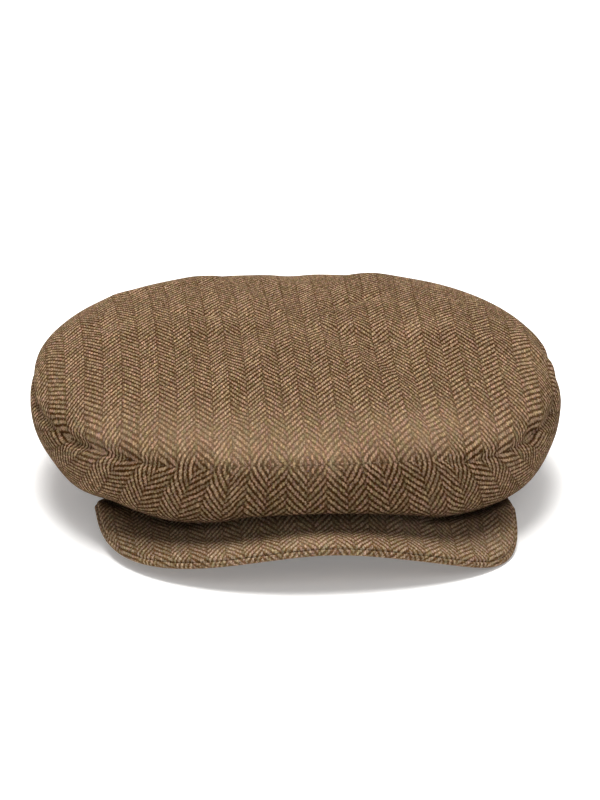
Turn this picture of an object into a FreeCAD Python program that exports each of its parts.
import FreeCAD, Part

import math
import os

import Sketcher
from FreeCAD import Vector

# Herringbone newsboy cap.  X is right, +Y is the back of the head, the visor points along -Y
# and the cap stands on Z = 0.  The origin is under the middle of the whole cap.
os.makedirs("parts", exist_ok=True)
DOC = FreeCAD.newDocument("NewsboyCap")

# ---------------------------------------------------------------------------
# Driving dimensions, millimetres and degrees
# ---------------------------------------------------------------------------
SIZES = [
    # head opening, measured on the inside of the sweatband
    ("head_half_width", 82.5, "half width of the oval head opening"),
    ("head_extra_length", 17.5, "how much longer than wide the opening is, per side"),
    ("opening_back_shift", 5.3, "middle of the opening behind the middle of the cap"),
    ("rim_height", 18.6, "height of the rim plane at its middle"),
    ("rim_tilt", 7.8, "rim plane rises towards the front, degrees"),
    # sweatband and its tape
    ("band_thickness", 1.2, "sweatband cloth, doubled"),
    ("band_headroom", 3.6, "top of the sweatband below the lining at the front"),
    ("tape_thickness", 1.0, "stiff tape behind the sweatband"),
    ("tape_start", 6.5, "tape's lower edge above the rim plane"),
    ("tape_height", 15.0, "tape's height"),
    ("layer_gap", 0.4, "air between neighbouring layers"),
    # cloth layers of the crown
    ("wool_thickness", 1.4, "herringbone wool cloth"),
    ("interlining_thickness", 0.8, "soft interlining"),
    ("allowance_thickness", 1.2, "pressed seam allowance"),
    ("lining_thickness", 0.5, "lining cloth"),
    # crown
    ("crown_half_width", 132.0, "half width at the widest ring"),
    ("crown_extra_length", 1.5, "how much longer than wide the crown is, per side"),
    ("crown_back", 2.5, "widest ring behind the opening's middle"),
    ("crown_height", 79.5, "top of the crown above the table"),
    ("seam_share", 0.6415, "height of the perimeter seam, as a share of the crown's"),
    # visor, laid out in its own plane
    ("visor_side_overhang", 18.5, "corners beyond the head opening, per side"),
    ("visor_length", 47.0, "tip beyond the front of the head opening"),
    ("visor_front_radius", 170.0, "radius of the front edge"),
    ("visor_corner_radius", 45.0, "radius of the corners"),
    ("visor_end_overhang", 9.5, "ends beyond the head opening, per side"),
    ("visor_end_share", 0.48, "where the visor ends, as a share of the opening's half length"),
    ("visor_arc_share", 0.97, "radius of the sewn edge, as a share of the opening's half width"),
    ("visor_clearance", 2.5, "sewn edge outside the head opening at the front"),
    ("visor_slope", 10.8, "visor falls towards the front, degrees"),
    ("visor_drop", 4.1, "middle of the visor's thickness below the rim at the front"),
    ("arch_radius", 100.0, "arch of the visor across its middle"),
    ("wing_angle", 16.0, "slope of the wings beside the arch, degrees"),
    ("visor_wool", 1.3, "cloth on the visor"),
    ("board_thickness", 1.2, "visor board"),
    ("padding_thickness", 0.6, "felt over the board"),
    ("visor_gap", 0.35, "air between the visor's layers"),
    # small pieces inside
    ("label_width", 50.0, "maker's label across"),
    ("label_length", 30.0, "maker's label front to back"),
    ("label_drop", 2.2, "label below the top lining"),
    ("patch_thickness", 0.4, "label and size tab cloth"),
    ("tab_width", 12.0, "size tab across"),
    ("tab_height", 18.0, "size tab, up the sweatband"),
]

SHEET = DOC.addObject("Spreadsheet::Sheet", "Sizes")
VALUE = {}
for row, (alias, value, note) in enumerate(SIZES, start=1):
    SHEET.set(f"A{row}", alias)
    SHEET.set(f"B{row}", str(value))
    SHEET.set(f"C{row}", note)
    SHEET.setAlias(f"B{row}", alias)
    VALUE[alias] = value
DOC.recompute()


def cell(alias):
    """The expression that reads one driving dimension."""
    return f"Sizes.{alias}"


def bind(thing, **expressions):
    """Binds properties of an object to expressions; __ in a name stands for a dot."""
    for path, expression in expressions.items():
        thing.setExpression(path.replace("__", "."), expression)


def add(kind, name):
    """A new document object."""
    return DOC.addObject(kind, name)


# ---------------------------------------------------------------------------
# Crown: every layer is the space between two lofts through the same family of
# oval rings, taken in by a depth along the surface normal.
# ---------------------------------------------------------------------------
OPENING_Y = cell("opening_back_shift")
COLLAR = f"({cell('head_half_width')} + {cell('band_thickness')} + {cell('layer_gap')})"
GROWTH = f"({cell('crown_half_width')} - {COLLAR})"
SEAM = f"({cell('seam_share')} * {cell('crown_height')})"
RISE = f"({cell('crown_height')} - {SEAM})"
HALF = cell("crown_half_width")
EXTRA = cell("crown_extra_length")
BACK = cell("crown_back")


def wall_level(share):
    """A height between the rim and the perimeter seam."""
    return f"{cell('rim_height')} + {share} * ({SEAM} - {cell('rim_height')})"


def dome_level(share):
    """A height between the perimeter seam and the top of the crown."""
    return f"{SEAM} + {share} * {RISE}"



# name: (half width, extra half length, distance behind the opening, height, tilt, lean)
# The lean is the direction of the outward normal above the horizontal.
RINGS = {
    "Rim": (
        COLLAR,
        cell("head_extra_length"),
        "0",
        cell("rim_height"),
        cell("rim_tilt"),
        "-125",
    ),
    "Low": (
        f"{COLLAR} + 0.44 * {GROWTH}",
        f"0.55 * {cell('head_extra_length')} + {EXTRA}",
        "-0.5",
        f"0.86 * {cell('rim_height')}",
        f"0.875 * {cell('rim_tilt')}",
        "-88",
    ),
    "Belly": (
        f"{COLLAR} + 0.79 * {GROWTH}",
        f"0.25 * {cell('head_extra_length')} + {EXTRA}",
        f"0.6 * {BACK}",
        wall_level(0.102),
        f"0.43 * {cell('rim_tilt')}",
        "-42",
    ),
    "Waist": (
        f"{COLLAR} + 0.965 * {GROWTH}",
        f"1.6 * {EXTRA}",
        BACK,
        wall_level(0.481),
        f"0.2 * {cell('rim_tilt')}",
        "-12",
    ),
    "Widest": (HALF, EXTRA, BACK, wall_level(0.811), "0.6", "0"),
    "Seam": (f"0.993 * {HALF}", EXTRA, BACK, SEAM, "0", "0"),
}
DOME = {
    "Brow": (f"0.955 * {HALF}", f"0.7 * {EXTRA}", f"1.1 * {BACK}", dome_level(0.33), "-1.0", "38"),
    "Shoulder": (f"0.868 * {HALF}", f"0.5 * {EXTRA}", f"1.6 * {BACK}", dome_level(0.6), "-2.2", "60"),
    "Crest": (f"0.71 * {HALF}", "0.4", f"2.6 * {BACK}", dome_level(0.82), "-3.0", "74"),
    "Crown": (f"0.44 * {HALF}", "0.3", f"3.8 * {BACK}", dome_level(0.955), "-2.4", "83"),
    "Cap": (f"0.16 * {HALF}", "0.2", f"4.6 * {BACK}", dome_level(0.998), "-1.0", "88"),
}

# depths of the two faces of each layer below the outside of the cap
WOOL_IN = cell("wool_thickness")
INTER_OUT = f"({WOOL_IN} + {cell('layer_gap')})"
INTER_IN = f"({INTER_OUT} + {cell('interlining_thickness')})"
ALLOW_OUT = f"({INTER_IN} + {cell('layer_gap')})"
ALLOW_IN = f"({ALLOW_OUT} + {cell('allowance_thickness')})"
LINING_OUT = f"({ALLOW_IN} + 1.6 * {cell('layer_gap')})"
LINING_IN = f"({LINING_OUT} + {cell('lining_thickness')})"


def ring(name, spec, depth):
    """An oval, longer front to back than across, sunk below the outside by a depth."""
    half_width, extra, behind, height, tilt, lean = spec
    oval = add("Part::Ellipse", name)
    shrink = f"({depth}) * cos({lean} * 1deg)"
    bind(
        oval,
        MajorRadius=f"({half_width}) + ({extra}) - {shrink}",
        MinorRadius=f"({half_width}) - {shrink}",
        Placement=(
            f"create(<<placement>>; create(<<vector>>; 0; {OPENING_Y} + ({behind}); "
            f"({height}) - ({depth}) * sin({lean} * 1deg)); "
            f"create(<<rotation>>; create(<<vector>>; 1; 0; 0); -({tilt})) * "
            f"create(<<rotation>>; create(<<vector>>; 0; 0; 1); 90))"
        ),
    )
    return oval


def side_loft(name, depth):
    """The solid inside the side panel's surface, from the rim to the perimeter seam."""
    loft = add("Part::Loft", name)
    loft.Sections = [ring(f"{name}{key}", spec, depth) for key, spec in RINGS.items()]
    loft.Solid = True
    return loft


def dome_loft(name, depth):
    """The solid under the top panel's surface, closed by a point on top."""
    specs = {"Seam": RINGS["Seam"], **DOME}
    sections = [ring(f"{name}{key}", spec, depth) for key, spec in specs.items()]
    peak = add("Part::Vertex", f"{name}Peak")
    bind(peak, Y=f"{OPENING_Y} + 12", Z=f"{cell('crown_height')} - {depth}")
    loft = add("Part::Loft", name)
    loft.Sections = sections + [peak]
    loft.Solid = True
    return loft


def cut(name, base, tool):
    """One solid minus another."""
    result = add("Part::Cut", name)
    result.Base = base
    result.Tool = tool
    return result


def oval_prism(name, wider, start, length):
    """An upright oval block on the rim plane: its wall is `wider` than the head opening."""
    oval = add("Part::Ellipse", f"{name}Oval")
    half_width = f"{cell('head_half_width')} + ({wider})"
    lift = f"({start})"
    bind(
        oval,
        MajorRadius=f"{half_width} + {cell('head_extra_length')}",
        MinorRadius=half_width,
        Placement=(
            f"create(<<placement>>; create(<<vector>>; 0; "
            f"{OPENING_Y} + {lift} * sin({cell('rim_tilt')} * 1deg); "
            f"{cell('rim_height')} + {lift} * cos({cell('rim_tilt')} * 1deg)); "
            f"create(<<rotation>>; create(<<vector>>; 1; 0; 0); -{cell('rim_tilt')}) * "
            f"create(<<rotation>>; create(<<vector>>; 0; 0; 1); 90))"
        ),
    )
    prism = add("Part::Extrusion", name)
    prism.Base = oval
    prism.DirMode = "Normal"
    prism.Solid = True
    bind(prism, LengthFwd=length)
    return prism


def tube(name, outside, inside, start, length):
    """An oval tube standing on the rim plane."""
    outer = oval_prism(f"{name}Outer", outside, start, length)
    inner = oval_prism(f"{name}Inner", inside, f"({start}) - 1", f"({length}) + 2")
    return cut(name, outer, inner)


WAY_THROUGH = f"{cell('band_thickness')} + {cell('layer_gap')}"


def side_layer(name, outside, inside):
    """A closed band of cloth from the rim to the perimeter seam."""
    shell = cut(f"{name}Shell", side_loft(f"{name}Out", outside), side_loft(f"{name}In", inside))
    return cut(name, shell, oval_prism(f"{name}Way", WAY_THROUGH, "-20", "60"))


def dome_layer(name, outside, inside):
    """An oval sheet of cloth over the top."""
    return cut(name, dome_loft(f"{name}Out", outside), dome_loft(f"{name}In", inside))


side_panel = side_layer("side_panel", "0", WOOL_IN)
top_panel = dome_layer("top_panel_whole", "0", WOOL_IN)
side_interlining = side_layer("side_interlining", INTER_OUT, INTER_IN)
top_interlining = dome_layer("top_interlining_whole", INTER_OUT, INTER_IN)
lining_side = side_layer("lining_side", LINING_OUT, LINING_IN)
lining_top = dome_layer("lining_top_whole", LINING_OUT, LINING_IN)


def seam_band(name, depth):
    """The solid inside the crown between the widest ring and the perimeter seam."""
    loft = add("Part::Loft", name)
    loft.Sections = [ring(f"{name}{key}", RINGS[key], depth) for key in ("Widest", "Seam")]
    loft.Solid = True
    return loft


def lifted(name, thing):
    """The same sheet raised by one layer gap, so that it rests clear of the side layer."""
    thing.Label = f"{name}_sheet"
    bind(thing, Placement__Base__z=cell("layer_gap"))
    return thing


seam_allowance = cut("seam_allowance", seam_band("AllowOut", ALLOW_OUT), seam_band("AllowIn", ALLOW_IN))
lifted("top_panel", top_panel)
lifted("top_interlining", top_interlining)
lifted("lining_top", lining_top)

# the crown is lowest at the front, so the sweatband's height is set there
ROOM = (
    f"({SEAM} + 0.6 * {RISE} - {LINING_IN} - {cell('rim_height')} "
    f"- ({cell('head_half_width')} + {cell('head_extra_length')}) * sin({cell('rim_tilt')} * 1deg))"
)
BAND_HEIGHT = f"{ROOM} - {cell('band_headroom')}"
sweatband = tube("sweatband", cell("band_thickness"), "0", "-0.5", BAND_HEIGHT)
headband_tape = tube(
    "headband_tape",
    f"{WAY_THROUGH} + {cell('tape_thickness')}",
    WAY_THROUGH,
    cell("tape_start"),
    cell("tape_height"),
)

# ---------------------------------------------------------------------------
# Small flat pieces
# ---------------------------------------------------------------------------
inner_label = add("Part::Box", "inner_label")
bind(
    inner_label,
    Length=cell("label_width"),
    Width=cell("label_length"),
    Height=cell("patch_thickness"),
    Placement__Base__x=f"-{cell('label_width')} / 2",
    Placement__Base__y=f"{OPENING_Y} + 12 - {cell('label_length')} / 2",
    Placement__Base__z=f"{cell('crown_height')} - {LINING_IN} - {cell('label_drop')}",
)

size_tab = add("Part::Box", "size_tab")
bind(
    size_tab,
    Length=cell("tab_width"),
    Width=cell("patch_thickness"),
    Height=cell("tab_height"),
    Placement=(
        f"create(<<placement>>; create(<<vector>>; -{cell('tab_width')} / 2; "
        f"{OPENING_Y} + ({cell('head_half_width')} + {cell('head_extra_length')}) "
        f"* cos({cell('rim_tilt')} * 1deg) + 4 * sin({cell('rim_tilt')} * 1deg) "
        f"- 2 * {cell('layer_gap')} - {cell('patch_thickness')}; "
        f"{cell('rim_height')} - ({cell('head_half_width')} + {cell('head_extra_length')}) "
        f"* sin({cell('rim_tilt')} * 1deg) + 4); "
        f"create(<<rotation>>; create(<<vector>>; 1; 0; 0); -{cell('rim_tilt')}))"
    ),
)

# ---------------------------------------------------------------------------
# Visor: arched sheets padded front to back, then trimmed to the visor's outline.
# The bodies are drawn flat and tilted as a whole.
# ---------------------------------------------------------------------------
HALF_LENGTH = f"({cell('head_half_width')} + {cell('head_extra_length')})"
STATION = f"({HALF_LENGTH} - 2)"
VISOR_HEIGHT = (
    f"({cell('rim_height')} + {HALF_LENGTH} * sin({cell('rim_tilt')} * 1deg) - {cell('visor_drop')})"
)
VISOR_HALF_WIDTH = f"({cell('head_half_width')} + {cell('visor_side_overhang')})"
VISOR_END_WIDTH = f"({cell('head_half_width')} + {cell('visor_end_overhang')})"
COLLAR_RADIUS = f"({cell('visor_arc_share')} * {cell('head_half_width')})"
VISOR_TOTAL = (
    f"(2 * {cell('visor_wool')} + {cell('board_thickness')} "
    f"+ {cell('padding_thickness')} + 3 * {cell('visor_gap')})"
)
VISOR_BOTTOM = f"(-{VISOR_TOTAL} / 2)"
BOARD_LOW = f"({VISOR_BOTTOM} + {cell('visor_wool')} + {cell('visor_gap')})"
BOARD_HIGH = f"({BOARD_LOW} + {cell('board_thickness')})"
PADDING_LOW = f"({BOARD_HIGH} + {cell('visor_gap')})"
PADDING_HIGH = f"({PADDING_LOW} + {cell('padding_thickness')})"
COVER_LOW = f"({PADDING_HIGH} + {cell('visor_gap')})"
COVER_HIGH = f"({VISOR_TOTAL} / 2)"
REACH = 130.0
TRIM = 220.0


def origin_plane(body, role):
    """One of a body's own origin planes."""
    return next(item for item in body.Origin.OriginFeatures if item.Role == role)


def sketch_on(body, role, name):
    """A sketch attached flat to one of the body's origin planes."""
    sketch = body.newObject("Sketcher::SketchObject", name)
    sketch.AttachmentSupport = [(origin_plane(body, role), "")]
    sketch.MapMode = "FlatFace"
    return sketch


def dimension(sketch, expression, *constraint):
    """Adds a dimensional constraint and binds it to an expression."""
    index = sketch.addConstraint(Sketcher.Constraint(*constraint))
    sketch.setExpression(f"Constraints[{index}]", expression)


def arch_sketch(body, name, low, high):
    """The visor's cross section: an arch with straight wings, between two offsets."""
    sketch = sketch_on(body, "XZ_Plane", name)
    radius = VALUE["arch_radius"]
    angle = math.radians(VALUE["wing_angle"])
    up = Vector(0, 0, 1)
    faces = []
    for offset, level in ((low, -2.0), (high, 2.0)):
        size = radius + level
        centre = Vector(0, -radius, 0)
        knee = Vector(size * math.sin(angle), size * math.cos(angle) - radius, 0)
        drop = (REACH - knee.x) * math.tan(angle)
        arc = sketch.addGeometry(
            Part.ArcOfCircle(Part.Circle(centre, up, size), math.pi / 2 - angle, math.pi / 2 + angle)
        )
        right = sketch.addGeometry(Part.LineSegment(knee, Vector(REACH, knee.y - drop, 0)))
        left = sketch.addGeometry(
            Part.LineSegment(Vector(-knee.x, knee.y, 0), Vector(-REACH, knee.y - drop, 0))
        )
        sketch.addConstraint(Sketcher.Constraint("Tangent", arc, 1, right, 1))
        sketch.addConstraint(Sketcher.Constraint("Tangent", arc, 2, left, 1))
        sketch.addConstraint(Sketcher.Constraint("PointOnObject", arc, 3, -2))
        sketch.addConstraint(Sketcher.Constraint("Symmetric", arc, 1, arc, 2, -2))
        sketch.addConstraint(Sketcher.Constraint("DistanceX", -1, 1, right, 2, REACH))
        sketch.addConstraint(Sketcher.Constraint("DistanceX", left, 2, -1, 1, REACH))
        dimension(sketch, cell("arch_radius"), "DistanceY", arc, 3, -1, 1, radius)
        dimension(sketch, f"{cell('arch_radius')} + ({offset})", "Radius", arc, size)
        dimension(sketch, f"2 * {cell('wing_angle')} * 1deg", "Angle", arc, 2 * angle)
        faces.append((right, left))
    for low_line, high_line in zip(faces[0], faces[1]):
        start = sketch.getPoint(low_line, 2)
        end = sketch.getPoint(high_line, 2)
        side = sketch.addGeometry(Part.LineSegment(start, end))
        sketch.addConstraint(Sketcher.Constraint("Coincident", low_line, 2, side, 1))
        sketch.addConstraint(Sketcher.Constraint("Coincident", high_line, 2, side, 2))
    return sketch


def outline_sketch(body, name, inset):
    """The visor's plan: everything outside its edge, the edge taken in by an inset."""
    sketch = sketch_on(body, "XY_Plane", name)
    up = Vector(0, 0, 1)
    head = VALUE["head_half_width"]
    half_length = head + VALUE["head_extra_length"]
    half_width = head + VALUE["visor_side_overhang"]
    corner = VALUE["visor_corner_radius"]
    front = VALUE["visor_front_radius"]
    station = half_length - 2
    front_y = station - half_length - VALUE["visor_length"] + front
    end_y = station - VALUE["visor_end_share"] * half_length
    end_x = head + VALUE["visor_end_overhang"]
    corner_x = half_width - corner
    corner_y = front_y - math.sqrt((front - corner) ** 2 - corner_x**2)
    meet = math.atan2(corner_y - front_y, corner_x)
    inner = VALUE["visor_arc_share"] * head
    inner_y = station - half_length - VALUE["visor_clearance"] + inner
    inner_x = math.sqrt(inner**2 - (inner_y - end_y) ** 2)
    turn = math.atan2(end_y - inner_y, inner_x)

    edge = sketch.addGeometry(
        Part.ArcOfCircle(Part.Circle(Vector(0, front_y, 0), up, front), -math.pi - meet, meet)
    )
    right = sketch.addGeometry(
        Part.ArcOfCircle(Part.Circle(Vector(corner_x, corner_y, 0), up, corner), meet, 0.1)
    )
    left = sketch.addGeometry(
        Part.ArcOfCircle(
            Part.Circle(Vector(-corner_x, corner_y, 0), up, corner), math.pi - 0.1, math.pi - meet
        )
    )
    right_side = sketch.addGeometry(
        Part.LineSegment(sketch.getPoint(right, 2), Vector(end_x, end_y, 0))
    )
    left_side = sketch.addGeometry(
        Part.LineSegment(sketch.getPoint(left, 1), Vector(-end_x, end_y, 0))
    )
    collar = sketch.addGeometry(
        Part.ArcOfCircle(
            Part.Circle(Vector(0, inner_y, 0), up, inner), math.pi - turn, 2 * math.pi + turn
        )
    )
    right_end = sketch.addGeometry(
        Part.LineSegment(Vector(end_x, end_y, 0), Vector(inner_x, end_y, 0))
    )
    left_end = sketch.addGeometry(
        Part.LineSegment(Vector(-end_x, end_y, 0), Vector(-inner_x, end_y, 0))
    )
    rules = [
        ("Tangent", right, 1, edge, 2),
        ("Tangent", left, 2, edge, 1),
        ("Tangent", right, 2, right_side, 1),
        ("Tangent", left, 1, left_side, 1),
        ("Coincident", right_side, 2, right_end, 1),
        ("Coincident", left_side, 2, left_end, 1),
        ("Coincident", right_end, 2, collar, 2),
        ("Coincident", left_end, 2, collar, 1),
        ("PointOnObject", edge, 3, -2),
        ("PointOnObject", collar, 3, -2),
        ("Horizontal", right_end),
        ("Horizontal", left_end),
        ("Symmetric", right_side, 2, left_side, 2, -2),
    ]
    for rule in rules:
        sketch.addConstraint(Sketcher.Constraint(*rule))
    corner_radius = f"{cell('visor_corner_radius')} - ({inset})"
    corner_centre = f"{VISOR_HALF_WIDTH} - {cell('visor_corner_radius')}"
    dimension(sketch, f"{cell('visor_front_radius')} - ({inset})", "Radius", edge, front)
    dimension(sketch, corner_radius, "Radius", right, corner)
    dimension(sketch, corner_radius, "Radius", left, corner)
    dimension(sketch, f"{COLLAR_RADIUS} + ({inset})", "Radius", collar, inner)
    dimension(sketch, corner_centre, "DistanceX", -1, 1, right, 3, corner_x)
    dimension(sketch, corner_centre, "DistanceX", left, 3, -1, 1, corner_x)
    dimension(
        sketch,
        f"{cell('visor_front_radius')} - {cell('visor_length')} - 2",
        "DistanceY", -1, 1, edge, 3, front_y,
    )
    dimension(
        sketch,
        f"{COLLAR_RADIUS} - {cell('visor_clearance')} - 2",
        "DistanceY", -1, 1, collar, 3, inner_y,
    )
    dimension(
        sketch,
        f"{STATION} - {cell('visor_end_share')} * {HALF_LENGTH} - ({inset})",
        "DistanceY", -1, 1, right_side, 2, end_y,
    )
    dimension(
        sketch, f"{VISOR_END_WIDTH} - ({inset})", "DistanceX", -1, 1, right_side, 2, end_x
    )
    corners = [Vector(-TRIM, -TRIM, 0), Vector(TRIM, -TRIM, 0), Vector(TRIM, TRIM, 0), Vector(-TRIM, TRIM, 0)]
    frame = [
        sketch.addGeometry(Part.LineSegment(corners[side], corners[(side + 1) % 4])) for side in range(4)
    ]
    for side in range(4):
        sketch.addConstraint(Sketcher.Constraint("Coincident", frame[side], 2, frame[(side + 1) % 4], 1))
        sketch.addConstraint(Sketcher.Constraint("Horizontal" if side % 2 == 0 else "Vertical", frame[side]))
    sketch.addConstraint(Sketcher.Constraint("Symmetric", frame[0], 1, frame[1], 2, -1, 1))
    sketch.addConstraint(Sketcher.Constraint("DistanceX", -1, 1, frame[1], 1, TRIM))
    sketch.addConstraint(Sketcher.Constraint("DistanceY", frame[1], 1, -1, 1, TRIM))
    return sketch


def visor_body(name, low, high, inset):
    """An arched sheet between two offsets, trimmed to the outline less an inset."""
    body = add("PartDesign::Body", name)
    bind(
        body,
        Placement=(
            f"create(<<placement>>; create(<<vector>>; 0; "
            f"{OPENING_Y} - {STATION}; {VISOR_HEIGHT}); "
            f"create(<<rotation>>; create(<<vector>>; 1; 0; 0); {cell('visor_slope')}))"
        ),
    )
    pad = body.newObject("PartDesign::Pad", f"{name}Pad")
    pad.Profile = arch_sketch(body, f"{name}Arch", low, high)
    pad.Midplane = True
    pad.Length = 2 * REACH
    DOC.recompute()
    before = pad.Shape.Volume
    pocket = body.newObject("PartDesign::Pocket", f"{name}Trim")
    pocket.Profile = outline_sketch(body, f"{name}Outline", inset)
    pocket.Type = "ThroughAll"
    pocket.Midplane = True
    DOC.recompute()
    if not 0 < pocket.Shape.Volume < 0.8 * before:
        raise RuntimeError(f"{name}: the outline did not trim the sheet")
    return body


WRAP = f"({cell('visor_wool')} + {cell('visor_gap')})"
visor_top_cover = visor_body("visor_top_cover", COVER_LOW, COVER_HIGH, "0")
visor_padding = visor_body("visor_padding", PADDING_LOW, PADDING_HIGH, WRAP)
visor_board = visor_body("visor_board", BOARD_LOW, BOARD_HIGH, WRAP)
visor_wrap = visor_body("VisorWrap", VISOR_BOTTOM, PADDING_HIGH, "0")
visor_hollow = visor_body("VisorHollow", f"{VISOR_BOTTOM} + {cell('visor_wool')}", "5", cell("visor_wool"))
visor_under_cover = cut("visor_under_cover", visor_wrap, visor_hollow)

# ---------------------------------------------------------------------------
# Checks, then one file for each piece
# ---------------------------------------------------------------------------
PIECES = {
    "top_panel": top_panel,
    "side_panel": side_panel,
    "top_interlining": top_interlining,
    "side_interlining": side_interlining,
    "seam_allowance": seam_allowance,
    "lining_top": lining_top,
    "lining_side": lining_side,
    "sweatband": sweatband,
    "headband_tape": headband_tape,
    "inner_label": inner_label,
    "size_tab": size_tab,
    "visor_top_cover": visor_top_cover,
    "visor_under_cover": visor_under_cover,
    "visor_board": visor_board,
    "visor_padding": visor_padding,
}

DOC.recompute()
for name, piece in PIECES.items():
    piece.Label = name
for thing in DOC.Objects:
    if "Invalid" in thing.State or "Error" in thing.State:
        raise RuntimeError(f"{thing.Name} failed: {thing.State}")
for name, piece in PIECES.items():
    shape = piece.Shape
    if shape.isNull() or not shape.isValid():
        raise RuntimeError(f"{name} is not a valid shape")
    if len(shape.Solids) != 1:
        raise RuntimeError(f"{name} has {len(shape.Solids)} solids")
for name, piece in PIECES.items():
    box = piece.Shape.BoundBox
    print(
        f"{name:18s} {piece.Shape.Volume / 1000:8.2f} cm3  x {box.XMin:7.2f} {box.XMax:7.2f}"
        f"  y {box.YMin:7.2f} {box.YMax:7.2f}  z {box.ZMin:6.2f} {box.ZMax:6.2f}"
    )
    piece.Shape.exportStep(f"parts/{name}.step")
